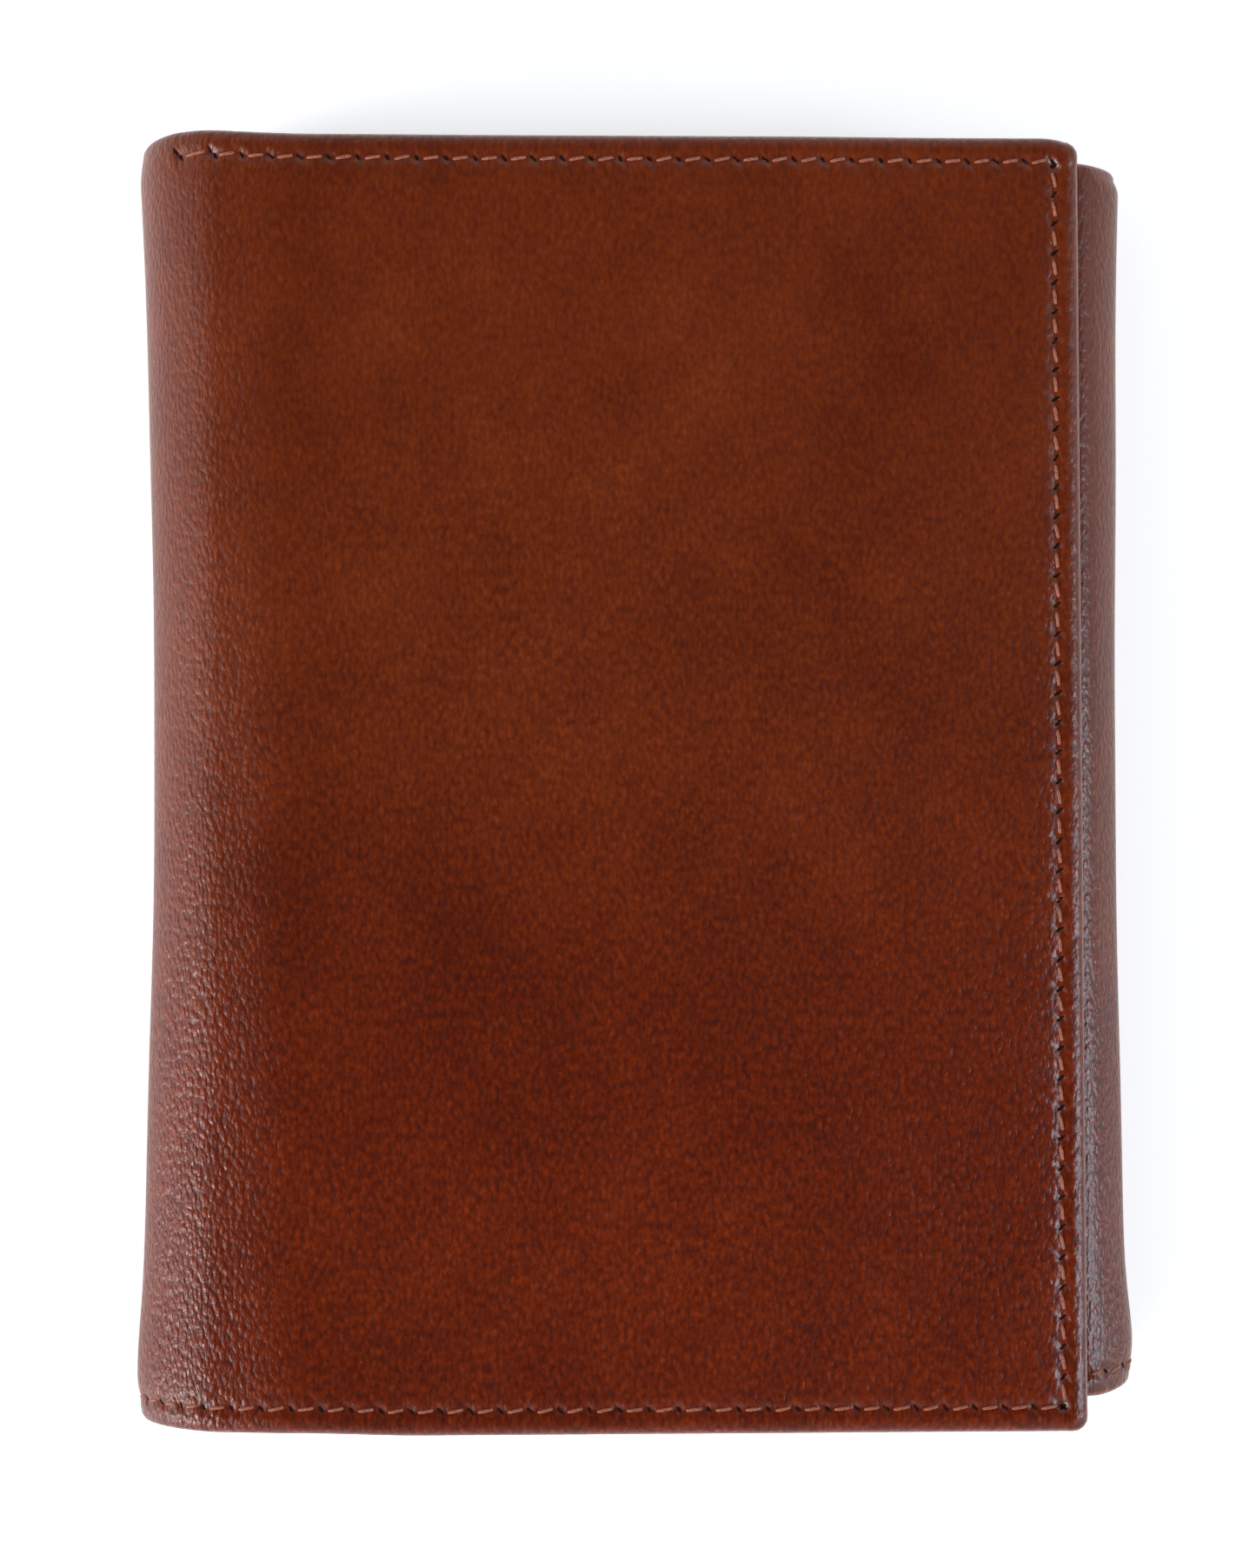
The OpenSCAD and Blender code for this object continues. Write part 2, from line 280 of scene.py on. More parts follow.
def mesh_from(name, points, faces, rest=None, **values):
    """A smooth mesh from points in millimetres. rest keeps the flat leather's coordinates."""
    mesh = bpy.data.meshes.new(name)
    mesh.from_pydata((points * MM).tolist(), [], faces)
    mesh.shade_smooth()
    store(mesh, "rest", points if rest is None else rest)
    for key, value in values.items():
        attribute = mesh.attributes.new(key, "FLOAT", "POINT")
        attribute.data.foreach_set("value", np.ravel(value).astype(np.float32))
    return mesh


def store(mesh, name, vectors):
    attribute = mesh.attributes.new(name, "FLOAT_VECTOR", "POINT")
    attribute.data.foreach_set("vector", np.ravel(vectors).astype(np.float32))


def grid_faces(columns, rows, flip=False):
    i, j = np.meshgrid(np.arange(columns - 1), np.arange(rows - 1), indexing="ij")
    a = (i * rows + j).ravel()
    quads = [a, a + 1, a + rows + 1, a + rows]
    if flip:
        quads.reverse()
    return np.stack(quads, -1).tolist()


def stretch(low, high, step):
    """Evenly spaced values from low to high, about step apart."""
    return np.linspace(low, high, max(2, round((high - low) / step) + 1))


def rounded(turn_s, turn_v, radius_s, radius_v):
    """Turn, direction and radius of an edge that turns past a side, an end, or both."""
    turn = np.hypot(turn_s, turn_v)
    safe = np.where(turn > 0, turn, 1)
    radius = (radius_s * turn_s**2 + radius_v * turn_v**2) / safe**2
    return turn, turn_s / safe, turn_v / safe, np.where(turn > 0, radius, radius_v)


# ---- The outer leather ----------------------------------------------------------------

HEM_TURN = math.pi + 2.6
EDGE_TURNS = np.concatenate([
    np.linspace(HEM_TURN, math.pi, 4)[:-1],
    np.linspace(math.pi, 0, 9)[:-1],
])
EDGE_R = 1.3
SQUARE = 0.8  # 1 for a round turned edge, less for one pressed flatter
BLOBS = [  # lighter along the left fold, a painted highlight, then patches of the antiqued finish: s, v, size along, size up, tone
    # the first blob lightens the left fold where it catches the light: a painted highlight
    (S_FRONT + 4, -12, 7, 60, 0.6),
    (42, 33, 15, 14, 0.35),
    (20, 8, 12, 20, -0.15),
    (56, -10, 14, 10, -0.5),
    (36, -18, 12, 8, -0.2),
    (24, -30, 13, 10, -0.25),
    (37, -38, 16, 8, 0.25),
    (22, -44, 14, 7, 0.1),
    (44, 2, 16, 8, 0.5),
    (62, 25, 9, 20, 0.1),
]


def edge_radius_top(s):
    return np.interp(s, [S_FRONT, S_BACK], [EDGE_R, 1.0])


def finish_tone_and_highlight(s, v):
    """Tone of the finish, with a painted highlight along the left fold: below 0 is darker than the
    leather's own brown.
    """
    tone = 0.0
    for blob_s, blob_v, wide, tall, amount in BLOBS:
        tone = tone + amount * np.exp(-(((s - blob_s) / wide) ** 2) - ((v - blob_v) / tall) ** 2)
    for k in range(1, 7):
        phase = dice.uniform(0, 2 * math.pi, 3)
        heading = dice.uniform(0, math.pi)
        wave = 2 * math.pi / (34 / k**0.7)
        turned = s * math.cos(heading) + v * math.sin(heading)
        across = v * math.cos(heading) - s * math.sin(heading)
        ripple = np.sin(wave * turned + phase[0]) * np.sin(wave * 0.8 * across + phase[1])
        tone = tone + 0.07 * ripple
    return tone


def grain_strength(s, v):
    """The grain is pressed flat on the panels and stands out round the folds, most at the foot."""
    low = smooth((30 - v) / 62)
    left = (0.4 + 0.7 * low) * swell(s, S_FRONT + 8, 17)
    right = (0.1 + 0.9 * low) * swell(s, S_FOLD, 9)
    return 0.38 + 0.08 * low + left + right


def leather_columns():
    """Strip lengths, edge turns, and the column at which each of the four pieces ends."""
    parts = [
        stretch(EDGE_R, EDGE_BAND, 0.2),
        stretch(EDGE_BAND, S_FRONT, 0.42),
        stretch(S_FRONT, S_SPINE, 0.4),
        stretch(S_SPINE, S_BACK, 0.45),
        stretch(S_BACK, S_RIGHT, 0.6),
        stretch(S_RIGHT, S_FOLD, 0.4),
        stretch(S_FOLD, S_FLAP, 0.4),
        stretch(S_FLAP, S_END - EDGE_BAND, 0.6),
        stretch(S_END - EDGE_BAND, S_END - EDGE_R, 0.25),
    ]
    lengths = np.concatenate([part[:-1] for part in parts] + [[S_END - EDGE_R]])
    before = len(EDGE_TURNS)
    cuts = [before + int(np.argmin(np.abs(lengths - cut))) for cut in (S_SPINE, S_RIGHT, S_FOLD)]
    turns = np.concatenate([-EDGE_TURNS, 0 * lengths, EDGE_TURNS[::-1]])
    lengths = np.concatenate([np.full(before, EDGE_R), lengths, np.full(before, S_END - EDGE_R)])
    return lengths, turns, cuts


def leather_grid():
    lengths, turn_s, cuts = leather_columns()
    near = END_BAND / (2 * FRONT_Y)
    share = np.concatenate([
        stretch(0, near, near / 15)[:-1],
        stretch(near, 1 - near, near / 7),
        stretch(1 - near, 1, near / 15)[1:],
    ])
    turn_v = np.concatenate([-EDGE_TURNS, 0 * share, EDGE_TURNS[::-1]])
    share = np.concatenate([0 * EDGE_TURNS, share, 0 * EDGE_TURNS + 1])
    s, share = np.meshgrid(lengths, share, indexing="ij")
    turn_s, turn_v = np.meshgrid(turn_s, turn_v, indexing="ij")
    radius_top = edge_radius_top(s)
    low = EDGE_R - foot_y(s)
    v = low + share * (top_y(s) - radius_top - low)
    radius_v = np.where(turn_v > 0, radius_top, EDGE_R)
    turn, way_s, way_v, radius = rounded(turn_s, turn_v, EDGE_R, radius_v)
    round_part = np.minimum(turn, math.pi)
    out = radius * (np.sin(round_part) ** SQUARE - np.maximum(turn - math.pi, 0))
    cosine = np.cos(round_part)
    sink = radius * (1 - np.sign(cosine) * np.abs(cosine) ** SQUARE)
    points = place(s, v, sink - form(s, v) - relief(s, v))
    _, _, nx, nz = section(s)
    points[..., 0] -= nz * way_s * out
    points[..., 2] += nx * way_s * out
    points[..., 1] += way_v * out
    flat = np.stack([s + way_s * radius * turn, v + way_v * radius * turn, 0 * s], -1)
    return points, flat, finish_tone_and_highlight(s, v), grain_strength(s, v), cuts


def grid_normals(points):
    along, up = np.gradient(points, axis=0), np.gradient(points, axis=1)
    normals = np.cross(up, along)
    return normals / np.maximum(np.linalg.norm(normals, axis=-1, keepdims=True), 1e-9)


def outer_leather(material):
    """The strip of outer leather in four pieces, which meet without a visible line."""
    points, flat, tone, grain, cuts = leather_grid()
    normals = grid_normals(points)
    edges = [0, *cuts, points.shape[0] - 1]
    names = ["front_leather", "back_leather", "fold_leather", "flap_leather"]
    pieces = []
    for name, first, last in zip(names, edges, edges[1:]):
        part = slice(first, last + 1)
        shape = points[part].shape
        mesh = mesh_from(
            name,
            points[part].reshape(-1, 3),
            grid_faces(shape[0], shape[1]),
            flat[part].reshape(-1, 3),
            tone=tone[part],
            grain=grain[part],
        )
        mesh.normals_split_custom_set_from_vertices(normals[part].reshape(-1, 3).tolist())
        pieces.append(new_object(name, mesh, material))
    return pieces


# ---- Inner layers: closed sheets with rounded edges -----------------------------------


def sheet_piece(
    name, s0, s1, v0, v1, depth, thick, material, step, open_at=None, dents=(), drawn=False
):
    """A sheet between two strip lengths and two heights, with rounded edges.

    The edge at the end named in open_at ("low" or "high") stays square, because the sheet
    meets its next part there. dents are creases in its inner face. A drawn sheet follows
    the folds' waist.
    """
    radius = thick / 2
    steps = np.linspace(HALF_PI, 0, 4)[:-1]
    start = s0 if open_at == "low" else s0 + radius
    end = s1 if open_at == "high" else s1 - radius
    lengths, heights = stretch(start, end, step), stretch(v0 + radius, v1 - radius, step)
    turn_s = 0 * lengths
    if open_at != "low":
        lengths, turn_s = np.append(0 * steps + start, lengths), np.append(-steps, turn_s)
    if open_at != "high":
        lengths, turn_s = np.append(lengths, 0 * steps + end), np.append(turn_s, steps[::-1])
    turn_v = np.concatenate([-steps, 0 * heights, steps[::-1]])
    heights = np.concatenate([0 * steps + v0 + radius, heights, 0 * steps + v1 - radius])
    s, v = np.meshgrid(lengths, heights, indexing="ij")
    turn_s, turn_v = np.meshgrid(turn_s, turn_v, indexing="ij")
    turn, way_s, way_v, _ = rounded(turn_s, turn_v, radius, radius)
    turn = np.minimum(turn, HALF_PI)
    _, _, nx, nz = section(s)
    middle = depth + radius - (waist(s, v) if drawn else 0)
    dent = sum(dent(s, v) for dent in dents) + 0 * s
    faces = []
    points, rest = [], []
    for side in (-1, 1):
        press = np.where(side > 0, dent * np.cos(turn), 0)
        layer = place(s, v, middle + side * radius * np.cos(turn) + press)
        out = radius * np.sin(turn)
        layer[..., 0] -= nz * way_s * out
        layer[..., 2] += nx * way_s * out
        layer[..., 1] += way_v * out
        columns, rows = s.shape
        shift = len(points) * columns * rows
        faces += [[shift + k for k in quad] for quad in grid_faces(columns, rows, flip=side > 0)]
        points.append(layer.reshape(-1, 3))
        rest.append(np.stack([s, v, 0 * s + depth], -1).reshape(-1, 3))
    mesh = mesh_from(name, np.concatenate(points), faces, np.concatenate(rest))
    weld(mesh)
    return new_object(name, mesh, material)


def weld(mesh):
    shape = bmesh.new()
    shape.from_mesh(mesh)
    bmesh.ops.remove_doubles(shape, verts=shape.verts, dist=0.002 * MM)
    shape.to_mesh(mesh)
    shape.free()


def crease(height, depth=0.09, width=0.28):
    """A line pressed into a sheet at a height."""
    return lambda s, v: -depth * np.exp(-(((v - height) / width) ** 2))


# ---- Thread ---------------------------------------------------------------------------

STITCH_L = 1.65
THREAD_R = 0.15
SLIT_HALF_WIDTH = 0.19
SLANT, SLANT_JITTER = math.radians(-10), 0.07
SLIT_TURN, SLIT_JITTER = math.radians(48), 0.2
THREAD_BED = -0.28  # the stitches lie in the seam's trench
THREAD_SLOT, HOLE_SLOT = 0, 1


def tube_faces(rings, sides):
    """Quads of a tube of rings."""
    faces = []
    for i in range(rings - 1):
        for j in range(sides):
            near, far = i * sides, (i + 1) * sides
            following = (j + 1) % sides
            faces.append([near + j, near + following, far + following, far + j])
    return faces


def thread_shape(length=STITCH_L, rings=9, sides=10):
    """One stitch: along, across and up, in millimetres, with the twist of its plies."""
    round_it = np.linspace(0, 2 * math.pi, sides, endpoint=False)
    share, angle = np.meshgrid(np.linspace(-1, 1, rings), round_it, indexing="ij")
    twist = 1 + 0.1 * np.cos(3 * angle - 7 * share)
    girth = THREAD_R * (1 - np.abs(share) ** 5) ** 0.5 * twist
    along = share * length / 2
    across = girth * np.cos(angle)
    up = 0.10 - 0.27 * share**4 + 0.8 * girth * np.sin(angle)
    return np.stack([along, across, up], -1).reshape(-1, 3), tube_faces(rings, sides)


def hole_shape(length=0.94, sides=12):
    """The mouth of a needle slit: a shallow lens, dark with painted shade where the slit lies in
    shadow.
    """
    points, faces = [[0, 0, 0.035]], []
    for ring, rise in ((0.6, 0.03), (1.0, -0.02)):
        for k in range(sides):
            angle = 2 * math.pi * k / sides
            along = length / 2 * ring * math.cos(angle)
            points.append([along, SLIT_HALF_WIDTH * ring * math.sin(angle), rise])
    for k in range(sides):
        following = (k + 1) % sides
        faces.append([0, 1 + k, 1 + following])
        faces.append([1 + k, 1 + sides + k, 1 + sides + following, 1 + following])
    return np.array(points), faces


class Thread:
    """Stitches and needle holes gathered into one piece."""

    def __init__(self):
        self.points, self.faces, self.slots = [], [], []
        self.size = 0

    def add(self, shape, seam, along, slant, slot, jitter=0.0):
        points, faces = shape
        turn = slant + jitter * dice.uniform(-1, 1)
        a = along + points[:, 0] * math.cos(turn) - points[:, 1] * math.sin(turn)
        b = points[:, 0] * math.sin(turn) + points[:, 1] * math.cos(turn)
        s, v = seam.point(a, b)
        if seam.side > 0:
            ground = form(s, v) + (relief(s, v) if slot == HOLE_SLOT else THREAD_BED)
            placed = place(s, v, -ground - points[:, 2])
        else:
            placed = place(s, v, seam.depth(s, v) - 0.12 + points[:, 2])
            faces = [face[::-1] for face in faces]
        self.points.append(placed)
        self.faces += [[self.size + k for k in face] for face in faces]
        self.slots += [slot] * len(faces)
        self.size += len(points)

    def sew(self, seam, first, last):
        """Adds the stitches of a seam whose middles lie between two places along it."""
        for k in range(seam.count):
            along = seam.low + (k + 0.5) * seam.pitch
            if first <= along < last:
                self.add(thread_shape(), seam, along, SLANT, THREAD_SLOT, SLANT_JITTER)
        for k in range(seam.count + 1):
            along = seam.low + k * seam.pitch
            if first <= along < last:
                self.add(hole_shape(), seam, along, SLIT_TURN, HOLE_SLOT, SLIT_JITTER)

    def piece(self, name):
        mesh = mesh_from(name, np.concatenate(self.points), self.faces)
        mesh.polygons.foreach_set("material_index", self.slots)
        return new_object(name, mesh, THREAD, HOLE)


# ---- Materials ------------------------------------------------------------------------


class Nodes:
    """A material's node tree, with one short call for each node."""

    def __init__(self, name):
        self.material = bpy.data.materials.new(name)
        self.material.use_nodes = True
        self.tree = self.material.node_tree
        self.shader = self.tree.nodes["Principled BSDF"]

    def add(self, kind, settings=None, **inputs):
        node = self.tree.nodes.new("ShaderNode" + kind)
        for key, value in (settings or {}).items():
            setattr(node, key, value)
        for key, value in inputs.items():
            self.join(value, node.inputs[key.replace("_", " ")])
        return node

    def join(self, value, socket):
        if isinstance(value, bpy.types.NodeSocket):
            self.tree.links.new(value, socket)
        else:
            socket.default_value = value

    def math(self, operation, a, b):
        node = self.add("Math", {"operation": operation})
        self.join(a, node.inputs[0])
        self.join(b, node.inputs[1])
        return node.outputs[0]

    def attribute(self, name):
        return self.add("Attribute", {"attribute_name": name}).outputs

    def rest(self, scale=None):
        """The leather's own flat coordinates in millimetres, kept on the mesh."""
        place = self.attribute("rest")["Vector"]
        if scale is None:
            return place
        node = self.add("VectorMath", {"operation": "MULTIPLY"})
        self.join(place, node.inputs[0])
        self.join(scale, node.inputs[1])
        return node.outputs[0]

    def object_mm(self):
        node = self.add("VectorMath", {"operation": "SCALE"})
        self.join(self.add("TexCoord").outputs["Object"], node.inputs[0])
        node.inputs["Scale"].default_value = 1 / MM
        return node.outputs[0]

    def noise(self, where, scale, detail=3.0, roughness=0.55):
        node = self.add("TexNoise", Vector=where, Scale=scale, Detail=detail, Roughness=roughness)
        return node.outputs["Fac"]

    def ramp(self, value, *stops):
        node = self.add("ValToRGB", Fac=value)
        marks = node.color_ramp.elements
        while len(marks) < len(stops):
            marks.new(0.5)
        for mark, (at, colour) in zip(marks, stops):
            mark.position = at
            mark.color = (*colour, 1)
        return node.outputs["Color"]

    def grey(self, value, low_at, high_at, low=0.0, high=1.0):
        """The value, mapped between two marks and held beyond them."""
        node = self.add("MapRange", {"clamp": True}, Value=value)
        ends = {"From Min": low_at, "From Max": high_at, "To Min": low, "To Max": high}
        for name, number in ends.items():
            node.inputs[name].default_value = number
        return node.outputs["Result"]

    def tint(self, factor, colour, by):
        """The colour, multiplied by another as far as the factor says."""
        node = self.add("Mix", {"data_type": "RGBA", "blend_type": "MULTIPLY"})
        self.join(factor, node.inputs["Factor"])
        self.join(colour, node.inputs[6])
        self.join(by, node.inputs[7])
        return node.outputs[2]

    def bump(self, height, strength, distance):
        node = self.add("Bump", Height=height, Strength=strength, Distance=distance)
        return node.outputs["Normal"]

    def set(self, **inputs):
        for key, value in inputs.items():
            self.join(value, self.shader.inputs[key.replace("_", " ")])


def srgb(red, green, blue):
    """Linear colour of an 8-bit screen colour."""
    shares = [c / 255 for c in (red, green, blue)]
    return tuple(c / 12.92 if c <= 0.04045 else ((c + 0.055) / 1.055) ** 2.4 for c in shares)


def pebble(n, where, cell):
    """Height of a pebbled grain with cells about `cell` millimetres across."""
    bend = n.add("TexNoise", Vector=where, Scale=0.8 / cell, Detail=2.0).outputs["Color"]
    bent = n.add("VectorMath", {"operation": "MULTIPLY_ADD"})
    n.join(bend, bent.inputs[0])
    bent.inputs[1].default_value = (cell * 0.8,) * 3
    n.join(where, bent.inputs[2])
    cells = n.add(
        "TexVoronoi",
        {"feature": "SMOOTH_F1"},
        Vector=bent.outputs[0],
        Scale=1 / cell,
        Smoothness=0.3,
        Randomness=0.9,
    ).outputs["Distance"]
    dome = n.grey(cells, 0.24, 0.70, 1.0, 0.0)
    fine = n.grey(n.noise(where, 1.8 / cell, 2.0), 0.32, 0.68)
    folds = n.noise(where, 0.5 / cell, 2.0)
    height = n.math("ADD", n.math("MULTIPLY", dome, 0.58), n.math("MULTIPLY", fine, 0.16))
    return n.math("ADD", height, n.math("MULTIPLY", folds, 0.26))


def outer_leather_material():
    n = Nodes("outer_leather")
    where = n.rest((1.0, 0.62, 1.0))
    up = n.add("SeparateXYZ", Vector=n.rest()).outputs["Y"]
    strong = n.attribute("grain")["Fac"]
    grain = pebble(n, where, 0.48)
    tone = n.attribute("tone")["Fac"]
    cloud = n.noise(where, 0.07, 4.0, 0.55)
    mottle = n.noise(where, 0.5, 3.0, 0.6)
    wrinkle = n.math("SUBTRACT", n.noise(n.rest((2.7, 1.35, 2.7)), 1.0, 2.0, 0.6), 0.5)
    # darker in the grain's hollows and along the wrinkle noise, more towards the foot: partly dye
    # in the pores, partly painted shade of the grain
    pore_dye_and_painted_shade = n.math("MULTIPLY", n.math("SUBTRACT", grain, 0.5), n.grey(up, 35, -35, 0.2, 0.35))
    pore_dye_and_painted_shade = n.math("ADD", pore_dye_and_painted_shade, n.math("MULTIPLY", wrinkle, n.grey(up, 35, -35, 0.5, 0.9)))
    level = n.math("ADD", n.math("MULTIPLY", tone, 0.18), n.math("MULTIPLY", cloud, 0.34))
    level = n.math("ADD", level, n.math("MULTIPLY", mottle, 0.22))
    level = n.math("ADD", n.math("ADD", level, pore_dye_and_painted_shade), 0.21)
    colour = n.ramp(
        level,
        (0.05, srgb(48, 8, 2)),
        (0.38, srgb(86, 28, 6)),
        (0.60, srgb(107, 41, 13)),
        (1.0, srgb(144, 64, 32)),
    )
    # the lower part is multiplied deeper and redder: painted shade for the weaker sheen there
    low_painted_shade = n.grey(up, 10, -25)
    n.set(Base_Color=n.tint(low_painted_shade, colour, (0.95, 0.69, 0.48, 1)))
    wear = n.math("ADD", n.math("MULTIPLY", mottle, 0.4), n.math("MULTIPLY", grain, 0.6))
    n.set(Roughness=n.grey(wear, 0.3, 0.7, 0.31, 0.23))
    height = n.math("MULTIPLY", n.math("ADD", grain, wrinkle), strong)
    n.set(Normal=n.bump(height, 0.85, 0.1 * MM))
    n.set(Specular_IOR_Level=0.45)
    return n.material


def inner_leather_material():
    n = Nodes("inner_leather")
    where = n.rest()
    grain = pebble(n, where, 0.42)
    cloud = n.noise(where, 0.09, 4.0, 0.55)
    level = n.math("ADD", n.math("MULTIPLY", cloud, 0.4), n.math("MULTIPLY", grain, 0.5))
    colour = n.ramp(
        level, (0.25, srgb(82, 30, 13)), (0.5, srgb(106, 44, 21)), (0.75, srgb(126, 56, 30))
    )
    n.set(Base_Color=colour, Roughness=n.grey(grain, 0.3, 0.8, 0.58, 0.45))
    n.set(Normal=n.bump(grain, 0.4, 0.05 * MM), Specular_IOR_Level=0.45)
    return n.material


def thread_material():
    n = Nodes("thread")
    where = n.object_mm()
    fibre = n.noise(where, 7.0, 3.0)
    colour = n.ramp(fibre, (0.3, srgb(112, 57, 40)), (0.7, srgb(176, 106, 81)))
    n.set(Base_Color=colour, Roughness=n.grey(fibre, 0.3, 0.7, 0.62, 0.45))
    n.set(Normal=n.bump(fibre, 0.5, 0.03 * MM), Specular_IOR_Level=0.4)
    return n.material


def hole_shade_material():
    n = Nodes("needle_hole_shade")
    fibre = n.noise(n.object_mm(), 5.0)
    # the near-black colour is painted shade for the shadow inside the slit
    n.set(Base_Color=n.ramp(fibre, (0.3, srgb(22, 8, 4)), (0.7, srgb(38, 14, 8))), Roughness=0.85)
    n.set(Specular_IOR_Level=0.1)
    return n.material


def lining_material():
    n = Nodes("lining_cloth")
    where = n.object_mm()
    thread = {"Vector": where, "Scale": 0.9, "Distortion": 0.4, "Detail": 1.0}
    warp = n.add("TexWave", {"bands_direction": "X"}, **thread)
    weft = n.add("TexWave", {"bands_direction": "Y"}, **thread)
    weave = n.math("MULTIPLY", warp.outputs["Fac"], weft.outputs["Fac"])
    slub = n.noise(where, 0.8, 3.0)
    level = n.math("ADD", n.math("MULTIPLY", weave, 0.5), n.math("MULTIPLY", slub, 0.5))
    colour = n.ramp(level, (0.2, srgb(40, 24, 17)), (0.7, srgb(72, 46, 34)))
    n.set(Base_Color=colour, Roughness=n.grey(level, 0.2, 0.7, 0.9, 0.7))
    n.set(Normal=n.bump(weave, 0.5, 0.06 * MM), Sheen_Weight=0.2)
    return n.material


def board_material():
    n = Nodes("bonded_fibre")
    fibre = n.noise(n.object_mm(), 1.4, 6.0, 0.7)
    n.set(Base_Color=n.ramp(fibre, (0.3, srgb(140, 112, 82)), (0.7, srgb(176, 148, 114))))
    n.set(Roughness=0.9, Normal=n.bump(fibre, 0.4, 0.05 * MM))
    return n.material


def film_material():
    n = Nodes("clear_film")
    scratch = n.noise(n.object_mm(), 0.16, 4.0, 0.6)
    n.set(Base_Color=(0.80, 0.83, 0.85, 1), Roughness=n.grey(scratch, 0.35, 0.7, 0.06, 0.2))
    n.set(Alpha=0.11, Normal=n.bump(scratch, 0.3, 0.12 * MM))
    return n.material


def floor_material():
    n = Nodes("floor")
    n.set(Base_Color=(0.92, 0.92, 0.92, 1), Roughness=0.8, Specular_IOR_Level=0.1)
    n.set(Emission_Color=(1, 1, 1, 1), Emission_Strength=0.45)
    return n.material


OUTER = outer_leather_material()
INNER = inner_leather_material()
THREAD = thread_material()
HOLE = hole_shade_material()
LINING = lining_material()
BOARD = board_material()
FILM = film_material()


# ---- Pieces along the joints ----------------------------------------------------------


def fold_point(s):
    return tuple(place(s, 0.0, 0.0) * MM)


def bend_with(piece, part):
    """Looks up the joint of a piece's stretch of the strip and bakes the piece's transform into
    its mesh.
    """
    bends = {
        "front": ("left_spine", "front_panel", S_SPINE, S_FRONT),
        "back": ("back_panel", "left_spine", S_BACK, S_SPINE),
        "back_right": ("back_panel", "right_spine", S_RIGHT, S_FOLD),
        "flap": ("right_spine", "flap", S_FOLD, S_FLAP),
    }
    body_a, body_b, start, end = bends[part]
    fold_point(start)
    fold_point(end)
    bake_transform(piece)


# ---- The pieces -----------------------------------------------------------------------


def make_outer_leather():
    front, back, fold, flap = outer_leather(OUTER)
    for piece, part in ((front, "front"), (back, "back"), (fold, "back_right"), (flap, "flap")):
        bend_with(piece, part)
    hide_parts("front_cover", "left_spine_leather")
    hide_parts("back_cover")
    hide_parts("right_spine_leather")
    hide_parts("flap_cover")


def mouth_v(i, half_height):
    """Height of the mouth of slot i, counted from the top."""
    return LOWEST_MOUTH + (3 - i) * SLOT_STEP - half_height


def front_inner_face(s, v):
    """Depth of the front panel's inner face, with its three stepped slots."""
    steps = sum((v < mouth_v(i, FRONT_Y)).astype(float) for i in (1, 2, 3))
    return FACE_D + SLOT_T * steps


def card_slots(prefix, body, s0, s1, half_height):
    """Three stepped slots, each with a creased mouth."""
    for i in (1, 2, 3):
        mouth = mouth_v(i, half_height)
        piece = sheet_piece(
            f"{prefix}_slot_{i}",
            s0,
            s1,
            0.3 - half_height if i == 3 else mouth - SLOT_REACH,
            mouth,
            FACE_D + (i - 1) * SLOT_T + HAIR_DEEPER,
            SLOT_T - HAIR_THINNER,
            INNER,
            0.7,
            dents=[crease(mouth - 1.3), crease(mouth - 2.1, 0.04)],
        )
        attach(piece, body)
        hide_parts(f"{prefix}_card_slot_{i}")


def make_panels():
    """The front's inner panel, the note divider in its two parts, and the card slots."""
    layer = {"depth": INNER_D + HAIR_DEEPER, "thick": INNER_T - HAIR_THINNER, "material": INNER}
    low, high = 0.2 - FRONT_Y, FRONT_Y - 0.2
    front = sheet_piece("front_panel_leather", 0.15, S_FRONT - 0.1, low, high, step=1.5, **layer)
    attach(front, "front_panel")
    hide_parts("front_inner_panel")
    low, high = 0.4 - FOLD_FOOT, FLAP_Y - SEAM_INSET
    layer.update(step=0.8, drawn=True)
    divider = sheet_piece("divider_back", S_BACK + 0.1, S_FOLD, low, high, open_at="high", **layer)
    bend_with(divider, "back_right")
    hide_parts("back_divider", "right_spine_divider")
    flap = sheet_piece("divider_flap", S_FOLD, S_END - 0.15, low, high, open_at="low", **layer)
    bend_with(flap, "flap")
    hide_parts("flap_divider")
    card_slots("front", "front_panel", 0.2, S_FRONT - 3, FRONT_Y)
    card_slots("flap", "flap", S_FLAP + 3, S_END - 0.2, FLAP_Y)


def make_linings():
    """Leather facing inside the left fold, and cloth lining round the right fold."""
    ends = (0.6 - BACK_Y, BACK_Y - 0.6, FACING_D, FACING_T, INNER, 0.8)
    upper = sheet_piece("facing_upper", S_FRONT + 0.1, S_SPINE, *ends, open_at="high", drawn=True)
    bend_with(upper, "front")
    lower = sheet_piece("facing_lower", S_SPINE, S_BACK - 0.1, *ends, open_at="low", drawn=True)
    bend_with(lower, "back")
    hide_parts("left_spine_facing")
    ends = (4.1 - FLAP_Y, FLAP_Y - 2.0, LINING_D, LINING_T, LINING, 0.8)
    lining = sheet_piece("lining_fold", S_RIGHT + 0.1, S_FOLD, *ends, open_at="high", drawn=True)
    bend_with(lining, "back_right")
    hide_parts("right_spine_lining")


def rounded_rectangle(curve, x0, x1, y0, y1, radius, steps=6):
    """Adds a closed outline to the curve, from its upper right corner round to the lower right."""
    low_x, high_x, low_y, high_y = x0 + radius, x1 - radius, y0 + radius, y1 - radius
    points = []
    corners = ((high_x, high_y), (low_x, high_y), (low_x, low_y), (high_x, low_y))
    for quarter, (x, y) in enumerate(corners):
        for k in range(steps + 1):
            angle = HALF_PI * (quarter + k / steps)
            points.append((x + radius * math.cos(angle), y + radius * math.sin(angle)))
    spline = curve.splines.new("POLY")
    spline.points.add(len(points) - 1)
    for point, (x, y) in zip(spline.points, points):
        point.co = (x * MM, y * MM, 0, 1)
    spline.use_cyclic_u = True


